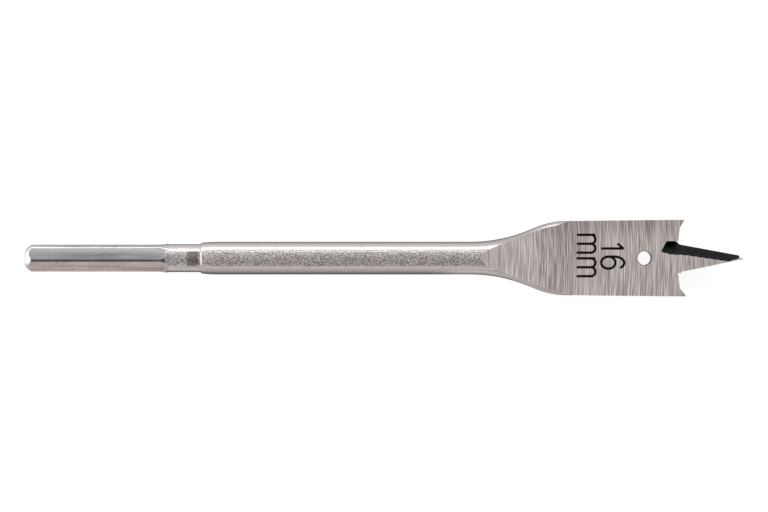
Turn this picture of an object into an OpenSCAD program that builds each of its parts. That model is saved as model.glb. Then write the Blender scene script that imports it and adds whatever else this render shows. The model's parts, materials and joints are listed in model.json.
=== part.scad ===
// Spade drill bit for wood, forged and ground from one steel bar.
// A hexagonal shank and a round shaft carry a flat blade with two scoring spurs,
// two cutting lips and a long centre point.
// The bit lies at rest on its shaft with the faces of the blade level and its tip towards +X.
// The origin is on the surface that it lies on, under the middle of its length.

/* [Overall] */
// Length from the end of the shank to the tip
length = 150; // [145:1:160]
// Width across the spurs, which is the size of the hole that the bit bores
blade_w = 16; // [15:0.5:18]
// Thickness of the blade between its two ground faces
blade_t = 2.4; // [2.2:0.1:2.8]

/* [Shank] */
// Length of the hexagonal shank
shank_len = 30; // [26:0.5:34]
// Distance across the flats of the shank
shank_af = 5.35; // [5.3:0.05:5.45]
// Diameter over the rounded corners of the shank
shank_corner_d = 6.05; // [6.05:0.05:6.1]
// Turn of the shank's corners from the middle of the blade's faces
shank_turn = 8; // [4:1:12]
// Radius of the arcs in which the flats run out towards the neck
flat_runout_r = 12; // [9:1:14]
// Radius of the domed end of the shank
dome_r = 3.22; // [3.2:0.02:3.4]
// Diameter of the small flat at the end of the dome
end_flat_d = 2.5; // [2:0.1:3]

/* [Neck and shaft] */
// Length of the turned neck between the shank and the shaft
neck_len = 6.8; // [5:0.2:9]
// Diameter of the neck
neck_d = 5.85; // [5.7:0.05:5.85]
// Diameter of the round shaft
shaft_d = 6.85; // [6.6:0.05:7]
// Diameter at the edge of the shoulder, where the shaft starts
shoulder_d = 6.5; // [6.3:0.05:6.55]
// Length over which the shoulder swells to the full shaft
shoulder_len = 3.6; // [2.5:0.1:5]

/* [Blade] */
// Length of the centre point, from the roots of the cutting lips to the tip
point_len = 13.65; // [12:0.05:15]
// Length of the blade's straight sides, from the lips back to the flare
side_len = 23.4; // [20:0.2:26]
// How much narrower each side is at the flare than at the spurs
side_taper = 0.25; // [0.1:0.05:0.4]
// Steepest angle of the flare to the axis
flare_angle = 21.8; // [20:0.2:24]
// Radius of the flare's hollow curve, next to the shaft
flare_hollow_r = 32; // [28:1:36]
// Radius of the flare's outer curve, next to the blade
flare_outer_r = 15.3; // [13:0.1:17]
// Radius of the grind that runs out from each face onto the shaft
runout_r = 61; // [54:1:70]
// Diameter of the hole through the blade
hole_d = 2.9; // [2.5:0.1:3.5]
// Distance from the roots of the lips back to the centre of the hole
hole_back = 7.05; // [6:0.05:8]

/* [Cutting end] */
// Half width of the centre point at its root
point_root = 2.95; // [2.6:0.05:3.2]
// Angle of each edge of the centre point to the axis
point_angle = 10.4; // [9.5:0.1:11]
// Length of the short final taper at the tip
tip_len = 0.9; // [0.6:0.1:1.5]
// Radius in the corner between a lip and the centre point
root_r = 0.8; // [0.5:0.1:1]
// Lean of the cutting lips, which run forwards towards the spurs
lip_lean = 7; // [4:0.5:10]
// Length of each straight cutting lip
lip_len = 3.4; // [3:0.1:3.6]
// How far the spur on the upper side stands out in front of its lip
upper_spur = 1; // [0.8:0.1:1.8]
// How far the spur on the lower side stands out in front of its lip
lower_spur = 1.7; // [0.8:0.1:1.8]
// Relief angle behind the lips and spurs
relief = 18; // [10:1:20]

/* [Bevels of the point] */
// How far behind the lips' roots the bevel starts
bevel_back = 3.45; // [2.5:0.05:4]
// How far the bevel's inner end leans forwards over its width
bevel_skew = 1.2; // [0.6:0.1:1.6]
// Distance from the axis to the bevel's ridge at its inner end
ridge_offset = 1.35; // [1:0.05:1.6]
// Angle at which the ridge crosses the point
ridge_angle = 8.4; // [7:0.1:10]
// Width of the bevel where it is cut into the blade
bevel_w = 2.25; // [2:0.05:2.5]
// Slope of the bevel down from the ridge
bevel_slope = 30; // [20:1:32]

/* [Hidden] */
$fn = 96;
arc_steps = 16;
rest_step = 0.01;
beyond = 2;
collar_step = 0.05;
runout_gap = 0.4;

corner_r = shank_corner_d / 2;
neck_r = neck_d / 2;
shaft_r = shaft_d / 2;
shoulder_r = shoulder_d / 2;
blade_r = blade_w / 2;
face_z = blade_t / 2;

// Stations along the axis, from the end of the shank
dome_centre = sqrt(pow(dome_r, 2) - pow(end_flat_d / 2, 2));
shoulder_s = shank_len + neck_len;
lip_s = length - point_len;
flare_end = lip_s - side_len;

// The flats end a little above the neck, so that a small step is left all round
flat_lift = neck_r + collar_step - shank_af / 2;
flat_end = shank_len - arc_run(flat_runout_r, flat_lift);

// The swell of the shoulder is an arc that ends level with the shaft
shoulder_round = shoulder_r - neck_r;
swell_len = shoulder_len - shoulder_round;
swell_rise = shaft_r - shoulder_r;
swell_r = (pow(swell_len, 2) + pow(swell_rise, 2)) / (2 * swell_rise);

// The flare is a hollow arc, a straight stretch at the steepest angle and an outer arc
flare_end_r = blade_r - side_taper;
hollow_rise = flare_hollow_r * (1 - cos(flare_angle));
outer_drop = flare_outer_r * (1 - cos(flare_angle));
straight_rise = flare_end_r - outer_drop - shaft_r - hollow_rise;
flare_start = flare_end - (flare_hollow_r + flare_outer_r) * sin(flare_angle)
    - straight_rise / tan(flare_angle);

// The run-out of each ground face starts just behind the flare's end and climbs until it is
// clear of the shaft
runout_clear = shaft_r + beyond;
runout_sweep = acos(1 - (runout_clear - face_z) / runout_r);
runout = arc([flare_end - runout_gap, face_z + runout_r], runout_r, 270 - runout_sweep, 270);

// Directions of a lip and of the point's edge, and the rounded corner between them
lip_dir = 90 - lip_lean;
edge_dir = -point_angle;
corner_half = (lip_dir - edge_dir) / 2;
root = [lip_s, point_root];
root_centre = root + root_r / sin(corner_half) * heading((lip_dir + edge_dir) / 2);
lip_start = root + root_r / tan(corner_half) * heading(lip_dir);
spur_root = root + lip_len * heading(lip_dir);
relief_start = along(lip_start, spur_root, 0.15);
tip_shoulder = root + (point_len - tip_len) / cos(point_angle) * heading(edge_dir);

// Height of the axis above the surface that the bit lies on. The bit touches it where the
// hollow curve of the bar meets the run-out of the lower face.
hollow = arc([flare_start, shaft_r + flare_hollow_r], flare_hollow_r, -90, flare_angle - 90);
hollow_end = flare_start + flare_hollow_r * sin(flare_angle);
rest_r = max([for (s = [flare_start : rest_step : hollow_end]) min(lookup(s, hollow), lookup(s, runout))]);

function heading(angle) = [cos(angle), sin(angle)];

// The run in which an arc rises by the given height above its tangent
function arc_run(radius, rise) = sqrt(pow(radius, 2) - pow(radius - rise, 2));

function arc(centre, radius, from, to) =
    [for (i = [0 : arc_steps]) centre + radius * heading(from + (to - from) * i / arc_steps)];

// A point on the line from a to b, at the given multiple of its length
function along(a, b, part) = a + part * (b - a);

// The half outline of the bar before it is ground, as [station, radius]
bar_outline = concat(
    [[0, 0], [0, corner_r], [shank_len, corner_r], [shank_len, neck_r]],
    arc([shoulder_s + shoulder_round, neck_r], shoulder_round, 180, 90),
    arc([shoulder_s + shoulder_len, shaft_r - swell_r], swell_r, 90 + asin(swell_len / swell_r), 90),
    hollow,
    arc([flare_end, flare_end_r - flare_outer_r], flare_outer_r, 90 + flare_angle, 90),
    [[lip_s, blade_r], [length + beyond, blade_r], [length + beyond, 0]]
);

// Repeats a cut on the other side, because the bit looks the same after half a turn
module both_sides() {
    children();
    rotate([180, 0, 0]) children();
}

// The bar, turned and flared to its outline
module bar() {
    rotate([0, 90, 0])
        rotate_extrude()
            polygon([for (p = bar_outline) [p[1], p[0]]]);
}

// What is taken off the end of the shank to leave its dome
module dome_waste() {
    difference() {
        translate([-beyond, 0, 0])
            rotate([0, 90, 0])
                cylinder(r = corner_r + beyond, h = beyond + dome_centre);
        translate([dome_centre, 0, 0]) sphere(dome_r);
    }
}

// What is taken off to leave the six flats of the shank, which run out towards the neck as arcs
module shank_flats() {
    flat_z = shank_af / 2;
    for (turn = [30 : 60 : 330])
        rotate([turn, 0, 0])
            rotate([90, 0, 0])
                linear_extrude(2 * shank_af, center = true)
                    difference() {
                        translate([-beyond, flat_z]) square([shoulder_s + beyond, beyond]);
                        difference() {
                            translate([flat_end, 0]) square(shank_len);
                            translate([flat_end, flat_z + flat_runout_r]) circle(flat_runout_r);
                        }
                    }
}

// What the grinding takes off one face, with its run-out onto the shaft
module face_grind() {
    rotate([90, 0, 0])
        linear_extrude(blade_w + 2 * beyond, center = true)
            polygon(concat(runout, [
                [length + beyond, face_z],
                [length + beyond, blade_r + beyond],
                [runout[0][0], blade_r + beyond]
            ]));
}

// The waste in front of the lip on one side, through the whole thickness
module end_waste(spur) {
    spur_tip = [spur_root[0] + spur, blade_r];
    linear_extrude(blade_w, center = true)
        polygon(concat(
            [along(spur_root, spur_tip, 2), spur_root],
            arc(root_centre, root_r, lip_dir + 90, edge_dir + 270),
            [
                tip_shoulder,
                along(tip_shoulder, [length, 0], 2),
                [length + point_len, 0],
                [length + point_len, blade_w]
            ]
        ));
}

// The relief behind the lip and spur on one side, falling away from the cutting edge
module lip_relief(spur) {
    spur_tip = [spur_root[0] + spur, blade_r];
    translate([lip_s, 0, face_z])
        rotate([0, relief, 0])
            translate([-lip_s, 0, -blade_w])
                linear_extrude(blade_w)
                    polygon([
                        along(spur_root, spur_tip, 2),
                        spur_root,
                        relief_start,
                        [length + point_len, relief_start[1]],
                        [length + point_len, blade_w]
                    ]);
}

// The bevel on one side of the centre point, with the pocket that it leaves in the blade
module point_bevel() {
    bevel_len = bevel_back + point_len + beyond;
    translate([lip_s - bevel_back, ridge_offset, face_z])
        rotate([0, 0, -ridge_angle])
            intersection() {
                translate([0, 0, -blade_t])
                    linear_extrude(blade_t + beyond)
                        polygon([
                            [0, 0],
                            [bevel_len, 0],
                            [bevel_len, bevel_w],
                            [bevel_skew, bevel_w]
                        ]);
                rotate([-bevel_slope, 0, 0])
                    translate([-beyond, -beyond, 0])
                        cube([bevel_len + 2 * beyond, blade_w, blade_w]);
            }
}

// The hole through the middle of the blade
module blade_hole() {
    translate([lip_s - hole_back, 0, 0])
        cylinder(d = hole_d, h = blade_w, center = true);
}

// The whole bit, one piece of steel
module drill_bit() {
    color([0.68, 0.66, 0.64])
        translate([-length / 2, 0, rest_r])
            difference() {
                rotate([shank_turn, 0, 0])
                    difference() {
                        bar();
                        dome_waste();
                        shank_flats();
                    }
                both_sides() {
                    face_grind();
                    point_bevel();
                }
                end_waste(upper_spur);
                lip_relief(upper_spur);
                rotate([180, 0, 0]) {
                    end_waste(lower_spur);
                    lip_relief(lower_spur);
                }
                blade_hole();
            }
}

drill_bit();
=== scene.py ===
import json
import math

import bmesh
import bpy
from mathutils import Matrix, Vector


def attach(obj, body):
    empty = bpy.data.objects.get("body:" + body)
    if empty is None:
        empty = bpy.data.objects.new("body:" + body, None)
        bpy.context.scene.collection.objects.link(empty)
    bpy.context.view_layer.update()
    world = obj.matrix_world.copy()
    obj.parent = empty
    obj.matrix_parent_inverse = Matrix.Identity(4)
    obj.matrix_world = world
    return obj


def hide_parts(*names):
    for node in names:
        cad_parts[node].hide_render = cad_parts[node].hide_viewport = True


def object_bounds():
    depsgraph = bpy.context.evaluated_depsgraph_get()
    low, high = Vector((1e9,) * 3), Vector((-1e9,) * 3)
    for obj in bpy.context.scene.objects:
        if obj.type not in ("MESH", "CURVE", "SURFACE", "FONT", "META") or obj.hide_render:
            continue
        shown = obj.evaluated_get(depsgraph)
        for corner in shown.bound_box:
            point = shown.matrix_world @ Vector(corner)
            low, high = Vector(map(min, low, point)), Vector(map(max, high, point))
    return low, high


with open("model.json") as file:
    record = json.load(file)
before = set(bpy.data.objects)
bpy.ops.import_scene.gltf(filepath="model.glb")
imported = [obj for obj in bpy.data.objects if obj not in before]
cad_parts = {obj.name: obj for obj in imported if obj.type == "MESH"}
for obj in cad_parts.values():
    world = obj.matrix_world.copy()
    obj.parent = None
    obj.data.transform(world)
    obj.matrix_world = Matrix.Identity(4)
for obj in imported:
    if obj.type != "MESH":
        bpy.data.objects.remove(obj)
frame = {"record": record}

cad_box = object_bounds()

# The camera
# A long lens looks straight down on the blade's ground face from half a metre.
# The bit lies across the whole picture, with its tip to the right.
PICTURE_W = 768
SENSOR_W = 36.0
SHANK_END_PX = 24.7
TIP_PX = 742.5
AXIS_PX = 258.1
CENTRE_PX = (384, 256)
VIEW_DISTANCE = 0.5

mounts = {mount["name"]: mount for mount in frame["record"]["mounts"]}
shank_end = Vector((cad_box[0].x, *mounts["hex_shank"]["pos_m"][1:]))
bit_length = cad_box[1].x - cad_box[0].x

metres_per_px = bit_length / (TIP_PX - SHANK_END_PX)
aim = shank_end.copy()
aim.x += (CENTRE_PX[0] - SHANK_END_PX) * metres_per_px
aim.y += (AXIS_PX - CENTRE_PX[1]) * metres_per_px
aim.z += VIEW_DISTANCE

lens = bpy.data.cameras.new("camera")
lens.sensor_width = SENSOR_W
lens.lens = SENSOR_W * VIEW_DISTANCE / (PICTURE_W * metres_per_px)
camera = bpy.data.objects.new("camera", lens)
camera.location = aim
bpy.context.scene.collection.objects.link(camera)
bpy.context.scene.camera = camera

# The steel's finishes
# The shaft is grainy along its middle and rubbed smooth on its flanks, which carry painted shade.
# The hexagon keeps its drawn skin, the faces are ground crosswise, the lips plain, and the bevels are
# near-black.
MM = 0.001


class Wire:
    """One output of a node, which takes part in Python arithmetic."""

    def __init__(self, nodes, socket):
        self.nodes = nodes
        self.socket = socket

    def math(self, operation, first, second=0.0):
        return self.nodes.add("ShaderNodeMath", {"operation": operation}, {0: first, 1: second})

    def __add__(self, other):
        return self.math("ADD", self, other)

    def __radd__(self, other):
        return self.math("ADD", other, self)

    def __sub__(self, other):
        return self.math("SUBTRACT", self, other)

    def __rsub__(self, other):
        return self.math("SUBTRACT", other, self)

    def __mul__(self, other):
        return self.math("MULTIPLY", self, other)

    def __rmul__(self, other):
        return self.math("MULTIPLY", other, self)

    def __abs__(self):
        return self.math("ABSOLUTE", self)


class Nodes:
    """The node tree of a material or of the studio around the bit."""

    def __init__(self, name, kind="materials"):
        self.owner = getattr(bpy.data, kind).new(name)
        self.owner.use_nodes = True
        self.tree = self.owner.node_tree
        self.tree.nodes.clear()

    def add(self, kind, settings=None, inputs=None, output=0):
        node = self.tree.nodes.new(kind)
        for key, value in (settings or {}).items():
            setattr(node, key, value)
        for key, value in (inputs or {}).items():
            if isinstance(value, Wire):
                self.tree.links.new(value.socket, node.inputs[key])
            else:
                node.inputs[key].default_value = value
        return Wire(self, node.outputs[output]) if node.outputs else None

    def own_place(self):
        """Millimetres along the bit, across the blade and out of its face."""
        where = self.add("ShaderNodeTexCoord", output="Object")
        return self.add("ShaderNodeMapping", None, {
            "Vector": where, "Scale": (1 / MM, 1 / MM, 1 / MM), "Location": -shank_end / MM,
        })

    def axis(self, place, name):
        return self.add("ShaderNodeSeparateXYZ", None, {"Vector": place}, output=name)

    def noise(self, place, scale, detail=2.0, roughness=0.5):
        return self.add("ShaderNodeTexNoise", None, {
            "Vector": place, "Scale": scale, "Detail": detail, "Roughness": roughness,
        })

    def streaks(self, place, per_mm, detail=2.0, roughness=0.6):
        """Noise with its own fineness along the bit, across the blade and out of its face."""
        stretched = self.add("ShaderNodeVectorMath", {"operation": "MULTIPLY"}, {0: place, 1: per_mm})
        return self.noise(stretched, 1.0, detail, roughness)

    def remap(self, value, span, to_span, smooth=False):
        kind = "SMOOTHSTEP" if smooth else "LINEAR"
        return self.add("ShaderNodeMapRange", {"interpolation_type": kind}, {
            "Value": value, "From Min": span[0], "From Max": span[1],
            "To Min": to_span[0], "To Max": to_span[1],
        })

    def rise(self, value, span, top=1.0):
        """0 before the span, the top after it and a smooth climb between."""
        return self.remap(value, span, (0.0, top), smooth=True)

    def fall(self, value, span, top=1.0):
        return self.remap(value, span, (top, 0.0), smooth=True)

    def band(self, value, start, end):
        return self.rise(value, start) * self.fall(value, end)

    def colour_mix(self, part, first, second):
        """A mix of two colours, which are the inputs 6 and 7 of the mix node."""
        inputs = {0: part, 6: first, 7: second}
        for key in (6, 7):
            if not isinstance(inputs[key], Wire):
                inputs[key] = (*inputs[key], 1)
        return self.add("ShaderNodeMix", {"data_type": "RGBA"}, inputs, output=2)

    def bump(self, height, strength, distance):
        inputs = {"Strength": strength, "Distance": distance, "Height": height}
        return self.add("ShaderNodeBump", None, inputs)

    def surface(self, **sockets):
        inputs = {}
        for key, value in sockets.items():
            inputs[key.replace("_", " ").title().replace("Ior", "IOR")] = value
        shader = self.add("ShaderNodeBsdfPrincipled", None, inputs)
        self.add("ShaderNodeOutputMaterial", None, {"Surface": shader})
        return self.owner


# Each pair is a span of millimetres in which one tone of the shaft gives way to another,
# across the bit from its axis or along it from the end of the shank.
STRIPE_SHIFT = 0.13
STRIPE_WANDER = 0.4
STRIPE_EDGE = (1.42, 1.66)
FLANK_SHADE_EDGE = (2.3, 3.3)
FRONT_FLANK_SHADE_EDGE = (-3.05, -2.15)
FRONT_FLANK_SHADE_END = (84, 92)
RUBBED_RIM = ((36.65, 36.8), (37.1, 37.3))
SMOOTH_BAND = ((34.0, 34.4), (36.4, 36.75))


def blasted_steel():
    nodes = Nodes("blasted_steel")
    place = nodes.own_place()
    station = nodes.axis(place, "X")
    across = nodes.axis(place, "Y")
    grain = nodes.noise(place, 3.0, roughness=0.6)
    fine = nodes.noise(place, 6.5, roughness=0.6)
    cloud = nodes.noise(place, 0.35)
    wander = (nodes.noise(place, 1.6) - 0.5) * STRIPE_WANDER
    stripe = nodes.fall(abs(across + STRIPE_SHIFT + wander), STRIPE_EDGE)
    grainy = stripe * (1 - nodes.band(station, *RUBBED_RIM))
    # The smooth band on the neck is also painted darker in colour: a painted reflection of the dark
    # studio overhead.
    smooth_band_and_painted_reflection = grainy * nodes.band(station, *SMOOTH_BAND)
    # Both flanks are painted darker: painted shade that stands for the shadowed floor they reflect.
    flank_painted_shade = nodes.rise(abs(across), FLANK_SHADE_EDGE)
    # The front flank is painted darker still, fading out along the shaft towards the blade: more
    # painted shade, of the floor in the bit's own shadow.
    front_flank_painted_shade = nodes.fall(across, FRONT_FLANK_SHADE_EDGE) * nodes.fall(station, FRONT_FLANK_SHADE_END)
    rubbed_and_painted_shade = nodes.colour_mix(cloud, (0.54, 0.505, 0.495), (0.62, 0.58, 0.57))
    # The rubbed tone takes on the painted shade of the flanks.
    rubbed_and_painted_shade = nodes.colour_mix(flank_painted_shade, rubbed_and_painted_shade, (0.46, 0.43, 0.42))
    rubbed_and_painted_shade = nodes.colour_mix(front_flank_painted_shade, rubbed_and_painted_shade, (0.26, 0.242, 0.238))
    speck = nodes.rise(grain * 0.45 + fine * 0.5 + cloud * 0.05, (0.40, 0.60))
    speckled = nodes.colour_mix(speck, (0.22, 0.20, 0.195), (0.90, 0.848, 0.833))
    skin = nodes.colour_mix(grainy, rubbed_and_painted_shade, speckled)
    rough = nodes.remap(grain, (0.35, 0.65), (0.25, 0.29)) + (cloud - 0.5) * 0.04
    height = (grain + fine * 0.4) * (0.03 + grainy * 0.97) * (1 - smooth_band_and_painted_reflection * 0.8)
    return nodes.surface(
        base_color=nodes.colour_mix(smooth_band_and_painted_reflection * 0.6, skin, (0.16, 0.145, 0.14)),
        metallic=0.86,
        specular_tint=(0.10, 0.09, 0.09, 1),
        roughness=rough + grainy * 0.22 - smooth_band_and_painted_reflection * 0.12,
        normal=nodes.bump(height, 1.0, 0.00009),
    )


# The flats are told apart by the product of the places across the bit and out of its face, in
# square millimetres, which is the same again after half a turn.
# The spans below place painted light on the hexagon: a dark corner line, warm flats, a sheen and a
# white end.
CORNER_PRODUCT = -1.37
CORNER_REACH = (0.35, 1.1)
WARM_REFLECTION_FLAT = (-2.0, -1.5)
SHEEN_STRIP = (2.0, 3.7)
SHEEN_STRIP_EDGE = (1.8, 2.1)
PALER_END_SPAN = (4, 16)
DOME_END = (0.8, 1.2)
DOME_SIDE_SQUARED = (0.8, 3.0)


def drawn_steel():
    nodes = Nodes("drawn_steel")
    place = nodes.own_place()
    station = nodes.axis(place, "X")
    across = nodes.axis(place, "Y")
    product = across * nodes.axis(place, "Z")
    lines = nodes.streaks(place, (0.05, 4.0, 4.0), 3.0)
    cloud = nodes.streaks(place, (0.15, 0.7, 0.7), roughness=0.5)
    pits = nodes.streaks(place, (0.8, 2.5, 2.5))
    tint = nodes.rise(lines * 0.6 + cloud * 0.4, (0.38, 0.62))
    # A pale strip on each flat, near its corner, is a painted sheen.
    painted_sheen = nodes.rise(product, SHEEN_STRIP, 0.7) * nodes.fall(across, SHEEN_STRIP_EDGE)
    # The skin is paler near the end of the shank, with a ragged edge.
    paler_near_end = nodes.fall(station + cloud * 6, PALER_END_SPAN, 0.5)
    # Two opposite flats are painted warmer and darker: a painted reflection of the warm softbox in
    # front.
    warm_darkening = nodes.fall(product, WARM_REFLECTION_FLAT)
    # A dark line along two opposite corners is painted shade: a painted reflection of the dark studio
    # in their rounding.
    corner = nodes.fall(abs(product - CORNER_PRODUCT), CORNER_REACH, 0.55)
    # The end of the shank is painted near-white: a painted highlight.
    dome = nodes.fall(station, DOME_END) * nodes.fall(across * across, DOME_SIDE_SQUARED)
    painted_warm_reflection = nodes.colour_mix(tint, (0.38, 0.34, 0.325), (0.54, 0.48, 0.46))
    skin = nodes.colour_mix(tint, (0.40, 0.398, 0.415), (0.60, 0.595, 0.615))
    skin = nodes.colour_mix(painted_sheen, skin, (0.88, 0.87, 0.885))
    skin = nodes.colour_mix(paler_near_end, skin, (0.72, 0.70, 0.70))
    skin = nodes.colour_mix(warm_darkening, skin, painted_warm_reflection)
    skin = nodes.colour_mix(corner, skin, (0.12, 0.11, 0.11))
    return nodes.surface(
        base_color=nodes.colour_mix(dome, skin, (0.97, 0.96, 0.96)),
        metallic=1.0,
        specular_tint=(0.5, 0.49, 0.5, 1),
        roughness=nodes.remap(lines * 0.5 + pits * 0.5, (0.35, 0.65), (0.20, 0.30)),
        normal=nodes.bump(lines + pits * 0.4, 0.3, 0.00003),
    )


# The lines of the grinding are bolder on the run-out, and the face is paler there, a little
# browner where the blade begins and darker along one edge.
CONTRAST_FADE = (109.0, 117.0)
CONTRAST = (2.1, 0.9)
RUNOUT_FADE = (105.5, 109.5)
BROWN_ZONE = ((107.5, 110.0), (113.5, 117.0))
SHADED_SIDE = (3.0, 7.0)


def ground_face():
    nodes = Nodes("ground_face")
    place = nodes.own_place()
    station = nodes.axis(place, "X")
    across = nodes.axis(place, "Y")
    wander = nodes.streaks(place, (0.15, 0.10, 0.10), 1.0, 0.5)
    sway = nodes.add("ShaderNodeCombineXYZ", None, {"X": wander * 0.15 + across * across * 0.004})
    swayed = nodes.add("ShaderNodeVectorMath", {"operation": "ADD"}, {0: place, 1: sway})
    scratch = nodes.streaks(swayed, (10.0, 0.04, 0.04))
    streak = nodes.streaks(swayed, (6.0, 0.03, 0.03))
    hair = nodes.streaks(swayed, (15.0, 0.20, 0.20), 1.0, 0.5)
    bands = nodes.streaks(place, (0.45, 0.02, 0.02), 1.0, 0.5)
    lines = scratch * 0.45 + streak * 0.12 + hair * 0.38 + bands * 0.05
    contrast = nodes.remap(station, CONTRAST_FADE, CONTRAST, smooth=True)
    tint = nodes.remap((lines - 0.5) * contrast, (-0.06, 0.06), (0, 1))
    runout = nodes.fall(station, RUNOUT_FADE, 0.3)
    warm_darkening = nodes.band(station, *BROWN_ZONE) * 0.16
    shaded = nodes.rise(across, SHADED_SIDE, 0.2)
    skin = nodes.colour_mix(tint, (0.27, 0.234, 0.215), (0.98, 0.90, 0.875))
    skin = nodes.colour_mix(runout, skin, (1.0, 0.93, 0.89))
    skin = nodes.colour_mix(warm_darkening, skin, (0.15, 0.10, 0.085))
    return nodes.surface(
        base_color=nodes.colour_mix(shaded, skin, (0.10, 0.088, 0.08)),
        metallic=0.52,
        roughness=nodes.remap(scratch, (0.3, 0.7), (0.48, 0.62)),
        normal=nodes.bump(scratch + streak * 0.7 + hair * 0.3, 1.0, 0.00006),
    )


def ground_edge():
    nodes = Nodes("ground_edge")
    lines = nodes.streaks(nodes.own_place(), (6.0, 0.4, 0.4))
    tint = nodes.rise(lines, (0.36, 0.64))
    return nodes.surface(
        base_color=nodes.colour_mix(tint, (0.36, 0.335, 0.32), (0.54, 0.51, 0.49)),
        metallic=1.0,
        roughness=nodes.remap(lines, (0.3, 0.7), (0.28, 0.40)),
        normal=nodes.bump(lines, 0.6, 0.00003),
    )


def dark_bevel():
    nodes = Nodes("dark_bevel")
    lines = nodes.streaks(nodes.own_place(), (1.2, 6.0, 6.0), 3.0)
    tint = nodes.rise(lines, (0.36, 0.64))
    return nodes.surface(
        base_color=nodes.colour_mix(tint, (0.008, 0.008, 0.009), (0.026, 0.025, 0.024)),
        metallic=1.0,
        roughness=nodes.remap(lines, (0.3, 0.7), (0.34, 0.48)),
        normal=nodes.bump(lines, 0.4, 0.00002),
    )


finishes = [blasted_steel(), drawn_steel(), ground_face(), ground_edge(), dark_bevel()]
BLASTED, DRAWN, GROUND, EDGE, BEVEL = range(len(finishes))

# The bit's form
# One bar of tool steel, drawn to a hexagon for the chuck, forged flat at the other end,
# ground on both faces, drilled, and sharpened to two lips, two spurs and a centre point.

# Millimetres, with places along the bit counted from the end of the shank
LENGTH = bit_length / MM
SHANK_LEN = 30.0
SHANK_FLAT = 5.40 / 2
SHANK_CORNER = 6.05 / 2
SHANK_TURN = 9
HEX_POWER = 15
FLAT_RUNOUT_R = 12.0
COLLAR_STEP = 0.05
DOME_R = 3.22
END_FLAT = 1.25
NECK_R = 2.925
SHOULDER = 36.8
SHOULDER_R = 3.25
SHOULDER_LEN = 3.6
SHAFT_R = mounts["round_shaft"]["dims"]["r_mm"]
LIP = 136.35
FLARE_END = 112.95
FLARE_END_R = 7.75
BLADE_R = 8.0
FACE = mounts["blade_hole"]["dims"]["length_mm"] / 2
FLARE_ANGLE = math.radians(21.8)
HOLLOW_R = 32.0
OUTER_R = 15.3
RUNOUT_R = 67.0
RUNOUT_GAP = 0.4
FORGED_THIN = 2.6
FORGED_SPAN = (100.0, 112.0)
SQUARE_SPAN = (110.5, 119.0)
ROUND_POWER = 2.0
SQUARE_POWER = 6.0

flat_lift = NECK_R + COLLAR_STEP - SHANK_FLAT
flat_end = SHANK_LEN - math.sqrt(FLAT_RUNOUT_R ** 2 - (FLAT_RUNOUT_R - flat_lift) ** 2)
straight_rise = FLARE_END_R - SHAFT_R - (HOLLOW_R + OUTER_R) * (1 - math.cos(FLARE_ANGLE))
straight_run = straight_rise / math.tan(FLARE_ANGLE)
hollow_run = HOLLOW_R * math.sin(FLARE_ANGLE)
outer_run = OUTER_R * math.sin(FLARE_ANGLE)
flare_start = FLARE_END - outer_run - straight_run - hollow_run


def blend(low, high, part):
    return low + (high - low) * part


def ease(value, span):
    """0 before the span, 1 after it and a smooth climb between."""
    part = min(1.0, max(0.0, (value - span[0]) / (span[1] - span[0])))
    return part * part * (3 - 2 * part)


def arc_rise(radius, run):
    """How far a circle has risen above its tangent, at a distance from where they touch."""
    return radius - math.sqrt(max(0.0, radius * radius - run * run))


def half_width(station):
    """The bit's outline as seen on its face, from the shaft to the spurs."""
    if station < flare_start:
        return SHAFT_R
    if station < flare_start + hollow_run:
        return SHAFT_R + arc_rise(HOLLOW_R, station - flare_start)
    if station < FLARE_END - outer_run:
        return FLARE_END_R - arc_rise(OUTER_R, outer_run) - (
            FLARE_END - outer_run - station
        ) * math.tan(FLARE_ANGLE)
    if station < FLARE_END:
        return FLARE_END_R - arc_rise(OUTER_R, FLARE_END - station)
    return blend(FLARE_END_R, BLADE_R, min(1.0, (station - FLARE_END) / (LIP - FLARE_END)))


def half_thickness(station):
    """Distance from the axis to a ground face, which runs out onto the shaft as a wide arc."""
    return FACE + arc_rise(RUNOUT_R, max(0.0, FLARE_END - RUNOUT_GAP - station))


def round_radius(station):
    """Radius of the round stretches: the neck, the shoulder and the shaft."""
    if station <= SHOULDER:
        return NECK_R
    rounding = SHOULDER_R - NECK_R
    if station < SHOULDER + rounding:
        return NECK_R + math.sqrt(rounding ** 2 - (SHOULDER + rounding - station) ** 2)
    swell_len = SHOULDER_LEN - rounding
    swell_rise = SHAFT_R - SHOULDER_R
    swell_r = (swell_len ** 2 + swell_rise ** 2) / (2 * swell_rise)
    return SHAFT_R - arc_rise(swell_r, max(0.0, SHOULDER + SHOULDER_LEN - station))


def shank_radius(station, angle):
    """Radius of the hexagonal shank, with its dome, rounded corners and run-out flats."""
    flat = SHANK_FLAT + arc_rise(FLAT_RUNOUT_R, max(0.0, station - flat_end))
    turns = [math.radians(SHANK_TURN + turn) for turn in (0, 60, 120)]
    spread = sum(abs(math.cos(angle - turn)) ** HEX_POWER for turn in turns)
    dome_centre = math.sqrt(DOME_R ** 2 - END_FLAT ** 2)
    dome = DOME_R - arc_rise(DOME_R, max(0.0, dome_centre - station))
    return min(flat / spread ** (1 / HEX_POWER), SHANK_CORNER, dome)


# Columns of the mesh run the length of the bit. Those within side_half of the blade's plane
# become its edges.
COLUMNS = 144
PINCH_LEN = 6
SIDE_SPARE = 1e-6
columns = [2 * math.pi * column / COLUMNS for column in range(COLUMNS)]
side_half = math.radians(25)

# The tongue of the ground face starts where the face comes inside the round of the shaft.
TONGUE_STEP = 0.01
tongue_start = flare_start
while half_thickness(tongue_start) > half_width(tongue_start):
    tongue_start += TONGUE_STEP
PINCH_SPAN = (tongue_start - PINCH_LEN, tongue_start)


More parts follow.
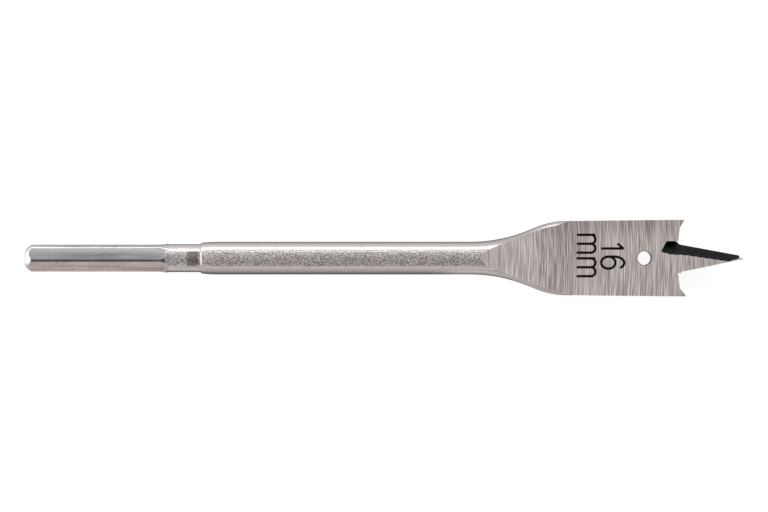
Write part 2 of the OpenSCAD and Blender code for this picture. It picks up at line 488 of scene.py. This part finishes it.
def column_place(angle):
    """Which part of the blade a column belongs to: its side or face, and how far along it."""
    turned = (angle + math.pi) % (2 * math.pi) - math.pi
    lateral = math.copysign(1, math.cos(turned))
    lean = math.atan2(math.sin(turned), abs(math.cos(turned)))
    if abs(lean) <= side_half + SIDE_SPARE:
        return "side", lateral, lean / side_half
    upper = math.copysign(1, turned)
    return "face", upper, (abs(turned) - side_half) / (math.pi - 2 * side_half)


def flare_point(station, angle):
    """A point of the flare's section: a flattened forging with both faces ground away."""
    wide = half_width(station)
    face = half_thickness(station)
    power = blend(ROUND_POWER, SQUARE_POWER, ease(station, SQUARE_SPAN))
    thick = wide if station < tongue_start else blend(
        half_width(tongue_start), FORGED_THIN, ease(station, FORGED_SPAN)
    )
    ground = face < thick
    if ground:
        edge = math.asin((face / thick) ** (power / 2))
    else:
        edge = blend(side_half, math.pi / 2, ease(station, PINCH_SPAN))
    kind, sign, part = column_place(angle)
    if kind == "side":
        turn = edge * part
        across = sign * wide * math.cos(turn) ** (2 / power)
        return across, math.copysign(thick * abs(math.sin(turn)) ** (2 / power), part)
    if ground:
        return wide * math.cos(edge) ** (2 / power) * (1 - 2 * part), sign * face
    turn = edge + part * (math.pi - 2 * edge)
    return wide * math.cos(turn), sign * thick * math.sin(turn)


def bar_point(station, angle):
    if station <= SHANK_LEN:
        radius = shank_radius(station, angle)
    elif station < PINCH_SPAN[0]:
        radius = round_radius(station)
    else:
        return Vector((station, *flare_point(station, angle)))
    return Vector((station, radius * math.cos(angle), radius * math.sin(angle)))


# The rings of the mesh stand close together where the form changes fast. Each zone has its
# start, its end and its number of rings.
DOME_RINGS_END = 2.4
RUNOUT_RINGS_START = SHANK_LEN - 2
COLLAR_EDGE = SHANK_LEN + 0.02
ROUNDING_END = SHOULDER + 0.35
SHAFT_START = SHOULDER + SHOULDER_LEN
SQUARE_END = SQUARE_SPAN[1] + 0.5
ring_zones = [
    (0.0, DOME_RINGS_END, 36),
    (DOME_RINGS_END, RUNOUT_RINGS_START, 8),
    (RUNOUT_RINGS_START, SHANK_LEN, 16),
    (SHANK_LEN, COLLAR_EDGE, 1),
    (COLLAR_EDGE, SHOULDER, 6),
    (SHOULDER, ROUNDING_END, 10),
    (ROUNDING_END, SHAFT_START, 10),
    (SHAFT_START, PINCH_SPAN[0], 24),
    (PINCH_SPAN[0], tongue_start, 14),
    (tongue_start, SQUARE_END, 110),
    (SQUARE_END, LENGTH, 12),
]
stations = [0.0]
for start, end, steps in ring_zones:
    stations += [blend(start, end, (step + 1) / steps) for step in range(steps)]

DRAWN_END = SHANK_LEN - 0.4
SIDE_GRIND = 114.5


def finish_at(station, angle):
    if station < DRAWN_END:
        return DRAWN
    if column_place(angle)[0] == "face":
        return GROUND if station > tongue_start else BLASTED
    return EDGE if station > SIDE_GRIND else BLASTED


bar = bmesh.new()
ring = bmesh.ops.create_circle(bar, cap_ends=False, segments=len(columns), radius=SHAFT_R)["verts"]
for vert, angle in zip(ring, columns):
    vert.co = bar_point(stations[0], angle)
first_ring = ring


def grown_from(old, fresh):
    """The new vertex that an extrusion grew from an old one."""
    return next(edge.other_vert(old) for edge in old.link_edges if edge.other_vert(old) in fresh)


for near, far in zip(stations, stations[1:]):
    sides = [bar.edges.get((ring[place - 1], ring[place])) for place in range(COLUMNS)]
    grown = bmesh.ops.extrude_edge_only(bar, edges=sides)["geom"]
    fresh = {part for part in grown if isinstance(part, bmesh.types.BMVert)}
    ring = [grown_from(old, fresh) for old in ring]
    for place, angle in enumerate(columns):
        ring[place].co = bar_point(far, angle)
        quad = bar.edges.get((ring[place - 1], ring[place])).link_faces[0]
        quad.material_index = finish_at((near + far) / 2, angle - math.pi / COLUMNS)
for cap_ring, finish in ((first_ring, DRAWN), (ring, EDGE)):
    cap = bar.faces.new(cap_ring)
    cap.material_index = finish
bmesh.ops.recalc_face_normals(bar, faces=bar.faces)


def mesh_object(name, shape):
    mesh = bpy.data.meshes.new(name)
    shape.to_mesh(mesh)
    shape.free()
    made = bpy.data.objects.new(name, mesh)
    bpy.context.scene.collection.objects.link(made)
    return made


bit = mesh_object("drill_bit_steel", bar)
for finish in finishes:
    bit.data.materials.append(finish)

# The cuts of the sharpening
# The waste in front of the lips is ground off, the lips and spurs are relieved behind
# their edges, a bevel is ground along each side of the point, and the hole is drilled.
POINT_ROOT = 2.95
ROOT_R = 0.8
ROOT_STEPS = 10
LIP_LEAN = math.radians(7)
LIP_LEN = 3.4
UPPER = {
    "lead": 0.0, "spur": 1.0, "relief_from": 0.15,
    "angle": math.radians(10.5), "straight_end": 149.1, "tip": [(149.28, 0.02)],
}
LOWER = {
    "lead": 0.35, "spur": 1.35, "relief_from": 0.05,
    "angle": math.radians(11.7), "straight_end": 151.0, "tip": [],
}
TIP_DROP = 0.1
RELIEF = math.radians(10)
BEVEL_BACK = 3.45
BEVEL_SKEW = 0.78
BEVEL_W = 2.33
BEVEL_SLOPE = math.radians(30)
RIDGE_OFFSET = 1.35
RIDGE_ANGLE = math.radians(8.4)
RIDGE_SPARE = 0.6
RIDGE_STEP = 0.4
HUMP_START = 0.3
HUMP_AT = 2.2
HUMP_REACH = 1.7
HUMP_RISE = 0.28
HOOK_START = 14.2
HOOK_SLOPE = 0.5
RIPPLES = [(0.05, 4.1, 0), (0.035, 9.3, 1)]
HOLE_R = mounts["blade_hole"]["dims"]["r_mm"]
HOLE_BACK = 6.95
HOLE_CHAMFER = 0.10
HOLE_STEPS = 64
HOLE_MERGE = 1e-5
CLEAR = 4.0
SHARP_ANGLE = math.radians(20)

point_len = LENGTH - LIP
lip_dir = Vector((math.sin(LIP_LEAN), math.cos(LIP_LEAN)))


def prism(outline, low, high):
    """A closed cutter with the outline as its plan, from one height to another."""
    shape = bmesh.new()
    base = shape.faces.new([shape.verts.new((x, y, low)) for x, y in outline])
    grown = bmesh.ops.extrude_face_region(shape, geom=[base])["geom"]
    lifted = [g for g in grown if isinstance(g, bmesh.types.BMVert)]
    bmesh.ops.translate(shape, verts=lifted, vec=(0, 0, high - low))
    bmesh.ops.recalc_face_normals(shape, faces=shape.faces)
    return shape


def turn_about(shape, pivot, angle, axis):
    bmesh.ops.rotate(shape, verts=shape.verts, cent=pivot, matrix=Matrix.Rotation(angle, 3, axis))


def lip_line(side):
    """Where a lip leaves the centre point, where its spur begins and a place past the spur's tip."""
    root = Vector((LIP + side["lead"], POINT_ROOT))
    spur_root = root + lip_dir * LIP_LEN
    spur_tip = Vector((spur_root.x + side["spur"], BLADE_R))
    return root, spur_root, spur_root.lerp(spur_tip, 2)


def end_waste(side):
    """What is ground off in front of one lip and beside the point, with a rounded corner."""
    root, spur_root, beyond = lip_line(side)
    edge_dir = Vector((math.cos(side["angle"]), -math.sin(side["angle"])))
    half_corner = (math.pi / 2 - LIP_LEAN + side["angle"]) / 2
    centre = root + (lip_dir + edge_dir).normalized() * ROOT_R / math.sin(half_corner)
    outline = [beyond, spur_root]
    for step in range(ROOT_STEPS + 1):
        turn = blend(math.pi - LIP_LEAN, 1.5 * math.pi - side["angle"], step / ROOT_STEPS)
        outline += [centre + Vector((math.cos(turn), math.sin(turn))) * ROOT_R]
    outline += [root + edge_dir * (side["straight_end"] - root.x) / edge_dir.x]
    outline += [Vector(place) for place in side["tip"]]
    outline += [Vector((LENGTH + CLEAR, -TIP_DROP * CLEAR)), Vector((LENGTH + CLEAR, 3 * CLEAR))]
    return prism(outline, -CLEAR, CLEAR)


def lip_relief(side):
    """What is ground off behind one lip and its spur, falling away from the face."""
    root, spur_root, beyond = lip_line(side)
    start = root.lerp(spur_root, side["relief_from"])
    outline = [beyond, spur_root, start]
    outline += [Vector((LENGTH + CLEAR, start.y)), Vector((LENGTH + CLEAR, 3 * CLEAR))]
    cutter = prism(outline, FACE - 3 * CLEAR, FACE)
    pivot = Vector((root.x, 0, FACE))
    turn_about(cutter, pivot, RELIEF, "Y")
    return cutter


def ridge_wave(run):
    """How far the bevel's inner edge strays: a hump near its back, a hook at the tip and ripples."""
    hump = HUMP_RISE * math.exp(-((run - HUMP_AT) / HUMP_REACH) ** 2) if run > HUMP_START else 0.0
    hook = HOOK_SLOPE * max(0.0, run - HOOK_START)
    return hump - hook + sum(size * math.sin(rate * run + phase) for size, rate, phase in RIPPLES)


def point_bevel():
    """What is ground off one side of the point, cut into slices so that its inner edge can stray."""
    bevel_len = BEVEL_BACK + point_len + CLEAR
    far_w = BEVEL_W + (bevel_len - BEVEL_SKEW) * math.tan(RIDGE_ANGLE)
    outline = [(-RIDGE_SPARE / 2, -RIDGE_SPARE), (bevel_len, -RIDGE_SPARE)]
    outline += [(bevel_len, far_w), (BEVEL_SKEW, BEVEL_W)]
    cutter = prism(outline, 0, CLEAR)
    for step in range(1, int(bevel_len / RIDGE_STEP)):
        whole = [*cutter.verts, *cutter.edges, *cutter.faces]
        slice_at = (step * RIDGE_STEP, 0, 0)
        bmesh.ops.bisect_plane(cutter, geom=whole, plane_co=slice_at, plane_no=(1, 0, 0))
    for vert in cutter.verts:
        if vert.co.z < CLEAR / 2:
            vert.co.z = -math.tan(BEVEL_SLOPE) * (vert.co.y + ridge_wave(vert.co.x))
    turn_about(cutter, (0, 0, 0), -RIDGE_ANGLE, "Z")
    bmesh.ops.translate(cutter, verts=cutter.verts, vec=(LIP - BEVEL_BACK, RIDGE_OFFSET, FACE))
    return cutter


def hole_drill():
    """A drill and its countersinks, as one spun profile."""
    drill = bmesh.new()
    profile = [
        (0, -CLEAR),
        (HOLE_R + HOLE_CHAMFER + CLEAR - FACE, -CLEAR),
        (HOLE_R, HOLE_CHAMFER - FACE),
        (HOLE_R, FACE - HOLE_CHAMFER),
        (HOLE_R + HOLE_CHAMFER + CLEAR - FACE, CLEAR),
        (0, CLEAR),
    ]
    verts = [drill.verts.new((r, 0, z)) for r, z in profile]
    chain = [drill.edges.new(pair) for pair in zip(verts, verts[1:])]
    bmesh.ops.spin(
        drill, geom=verts + chain, cent=(0, 0, 0), axis=(0, 0, 1),
        angle=2 * math.pi, steps=HOLE_STEPS, use_merge=True,
    )
    bmesh.ops.remove_doubles(drill, verts=drill.verts, dist=HOLE_MERGE)
    bmesh.ops.recalc_face_normals(drill, faces=drill.faces)
    bmesh.ops.translate(drill, verts=drill.verts, vec=(LIP - HOLE_BACK, 0, 0))
    return drill


def turned_over(cutter):
    turn_about(cutter, (0, 0, 0), math.pi, "X")
    return cutter


cuts = [
    ("upper_waste", end_waste(UPPER), EDGE),
    ("lower_waste", turned_over(end_waste(LOWER)), EDGE),
    ("upper_relief", lip_relief(UPPER), EDGE),
    ("lower_relief", turned_over(lip_relief(LOWER)), EDGE),
    ("front_bevel", point_bevel(), BEVEL),
    ("back_bevel", turned_over(point_bevel()), BEVEL),
    # The hole's wall and countersinks take the near-black finish: painted shade inside the hole.
    ("hole_drill", hole_drill(), BEVEL),
]
cutters = []
for name, shape, finish in cuts:
    for face in shape.faces:
        face.material_index = finish
    cutter = mesh_object(name, shape)
    for material in finishes:
        cutter.data.materials.append(material)
    cutters.append(cutter)
    cut = bit.modifiers.new(name, "BOOLEAN")
    cut.operation = "DIFFERENCE"
    cut.solver = "EXACT"
    cut.object = cutter


def evaluated_mesh(made):
    """The mesh of an object with its modifiers or its curve's tubes applied."""
    graph = bpy.context.evaluated_depsgraph_get()
    return bpy.data.meshes.new_from_object(made.evaluated_get(graph))


placed = Matrix.Translation(shank_end) @ Matrix.Scale(MM, 4)
sharpened = evaluated_mesh(bit)
bit.modifiers.clear()
for cutter in cutters:
    bpy.data.objects.remove(cutter)
sharpened.transform(placed)
sharpened.shade_smooth()
sharpened.set_sharp_from_angle(angle=SHARP_ANGLE)
bit.data = sharpened
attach(bit, "root")
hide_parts("drill_bit")

# The size mark
# The bore size is marked on one face in plain black strokes of even width,
# turned to read along the edge of the blade.
MARK_STROKE = 0.265
MARK_PROUD = 0.012
MARK_MERGE = 1e-4
DIGIT_LOW = 120.35
DIGIT_HIGH = 125.1
ONE_LINE = 2.0
ONE_FLAG_ROOT = (0.15, 0.02)
ONE_FLAG_TIP = (1.35, 1.05)
SIX_LINE = -0.95
SIX_BOWL = (1.5, 1.25)
SIX_TAIL = (2.0, 1.3)
SIX_TAIL_SHIFT = (1.3, -0.05)
SIX_TAIL_TURN = (90, -55)
SIX_TAIL_ROOT = 0.05
UNIT_LOW = 115.25
UNIT_HIGH = 119.15
UNIT_LINES = (4.85, -0.05)
LEG_GAP = 1.86
ARCH_R = LEG_GAP / 2


def stroke(points, closed=False):
    """A poly curve of the mark, given as (along the bit, across the blade)."""
    spline = mark_curve.splines.new("POLY")
    spline.points.add(len(points) - 1)
    for point, (x, y) in zip(spline.points, points):
        point.co = (x, y, 0, 1)
    spline.use_cyclic_u = closed


def arc_points(centre, radii, first, last, steps=24):
    for step in range(steps + 1):
        turn = math.radians(blend(first, last, step / steps))
        yield centre[0] + radii[0] * math.cos(turn), centre[1] + radii[1] * math.sin(turn)


mark_curve = bpy.data.curves.new("size_mark", "CURVE")
mark_curve.dimensions = "3D"
mark_curve.bevel_depth = MARK_STROKE
mark_curve.bevel_resolution = 4
mark_curve.use_fill_caps = True
stroke([(DIGIT_LOW, ONE_LINE), (DIGIT_HIGH, ONE_LINE)])
stroke([(DIGIT_HIGH - back, ONE_LINE + aside) for back, aside in (ONE_FLAG_ROOT, ONE_FLAG_TIP)])
bowl_x = DIGIT_LOW + SIX_BOWL[0]
stroke(list(arc_points((bowl_x, SIX_LINE), SIX_BOWL, 0, 360))[:-1], closed=True)
tail_centre = (bowl_x + SIX_TAIL_SHIFT[0], SIX_LINE + SIX_TAIL_SHIFT[1])
stroke([
    (bowl_x + SIX_TAIL_ROOT, SIX_LINE + SIX_BOWL[1]),
    *arc_points(tail_centre, SIX_TAIL, *SIX_TAIL_TURN),
])
for first_leg in UNIT_LINES:
    stroke([(UNIT_LOW, first_leg), (UNIT_HIGH, first_leg)])
    for leg in (1, 2):
        here = first_leg - leg * LEG_GAP
        arch = arc_points((UNIT_HIGH - ARCH_R, here + ARCH_R), (ARCH_R, ARCH_R), 90, -90)
        stroke([*arch, (UNIT_LOW, here)])
mark_object = bpy.data.objects.new("size_mark_strokes", mark_curve)
bpy.context.scene.collection.objects.link(mark_object)
mark_tubes = evaluated_mesh(mark_object)
bpy.data.objects.remove(mark_object)
mark_shape = bmesh.new()
mark_shape.from_mesh(mark_tubes)
bmesh.ops.remove_doubles(mark_shape, verts=mark_shape.verts, dist=MARK_MERGE)
bmesh.ops.recalc_face_normals(mark_shape, faces=mark_shape.faces)
flatten = Matrix.Diagonal((1, 1, MARK_PROUD / MARK_STROKE, 1))
on_face = placed @ Matrix.Translation((0, 0, FACE)) @ flatten
bmesh.ops.transform(mark_shape, matrix=on_face, verts=mark_shape.verts)
size_mark = mesh_object("size_mark", mark_shape)


def mark_black():
    nodes = Nodes("mark_black")
    speck = nodes.noise(nodes.own_place(), 6.0)
    return nodes.surface(
        base_color=nodes.colour_mix(speck, (0.002, 0.002, 0.002), (0.012, 0.011, 0.011)),
        specular_ior_level=0.04,
        roughness=0.6,
    )


size_mark.data.materials.append(mark_black())
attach(size_mark, "root")

# The floor
# A plain white table top, which keeps the bit's soft shadow.
FLOOR_SIZE = 6.0
FLOOR_GLOW = 0.86
floor_shape = bmesh.new()
bmesh.ops.create_grid(floor_shape, x_segments=1, y_segments=1, size=FLOOR_SIZE / 2)
floor = mesh_object("floor", floor_shape)
white = Nodes("floor_white")
seen = white.add("ShaderNodeLightPath", output="Is Camera Ray")
mirrored = white.add("ShaderNodeLightPath", output="Is Glossy Ray")
through = white.add("ShaderNodeLightPath", output="Is Transmission Ray")
matte = white.add("ShaderNodeBsdfDiffuse", None, {"Color": (0.30, 0.30, 0.30, 1)})
glow = white.add("ShaderNodeEmission", None, {
    "Color": (1, 1, 1, 1), "Strength": (seen + mirrored + through) * FLOOR_GLOW,
})
both = white.add("ShaderNodeAddShader", None, {0: matte, 1: glow})
white.add("ShaderNodeOutputMaterial", None, {"Surface": both})
floor.data.materials.append(white.owner)

# The light
# A long softbox behind the bit, a weaker and warmer one in front, a white one off the end of
# the shank, and a pale studio with one dark patch, overhead and a little to the front.
softboxes = {
    "key_softbox": {
        "at": (0.0, 0.77, 0.24), "size": (1.6, 0.27),
        "radiance": 2.9, "colour": (1.0, 0.97, 0.96),
    },
    "fill_softbox": {
        "at": (0.0, -0.90, 0.28), "size": (1.6, 0.15),
        "radiance": 1.35, "colour": (1.0, 0.88, 0.84),
    },
    "end_softbox": {
        "at": (-0.8, 0.0, 0.30), "size": (1.2, 0.55),
        "radiance": 3.0, "colour": (1.0, 1.0, 1.0),
    },
}
for name, lamp in softboxes.items():
    light = bpy.data.lights.new(name, "AREA")
    light.shape = "RECTANGLE"
    light.color = lamp["colour"]
    light.size, light.size_y = lamp["size"]
    light.energy = lamp["radiance"] * math.pi * lamp["size"][0] * lamp["size"][1]
    softbox = bpy.data.objects.new(name, light)
    beam = Vector((0, 0, shank_end.z)) - Vector(lamp["at"])
    facing = beam.to_track_quat("-Z", "Y").to_matrix().to_4x4()
    softbox.matrix_world = Matrix.Translation(lamp["at"]) @ facing
    bpy.context.scene.collection.objects.link(softbox)

DARK_PATCH = 0.10
DARK_LEAN = math.radians(18)
DARK_OUTER = math.radians(22)
DARK_INNER = math.radians(5)
BEHIND = 0.66
IN_FRONT = 0.42
WALL_FADE = (-0.7, 0.5)
studio = Nodes("studio", "worlds")
bpy.context.scene.world = studio.owner
direction = studio.add("ShaderNodeTexCoord", output="Generated")


def towards(heading, span, levels):
    """A level of the studio by how near a direction is to the heading."""
    inputs = {0: direction, 1: heading}
    nearness = studio.add("ShaderNodeVectorMath", {"operation": "DOT_PRODUCT"}, inputs, output="Value")
    return studio.remap(nearness, span, levels, smooth=True)


patch_heading = (0, -math.sin(DARK_LEAN), math.cos(DARK_LEAN))
patch = towards(patch_heading, (math.cos(DARK_OUTER), math.cos(DARK_INNER)), (0, 1))
walls = towards((0, 1, 0), WALL_FADE, (IN_FRONT, BEHIND))
level = studio.add("ShaderNodeMix", None, {0: patch, 2: walls, 3: DARK_PATCH})
air = studio.add("ShaderNodeBackground", None, {"Strength": level})
studio.add("ShaderNodeOutputWorld", None, {"Surface": air})

bpy.context.scene.view_settings.view_transform = "Standard"
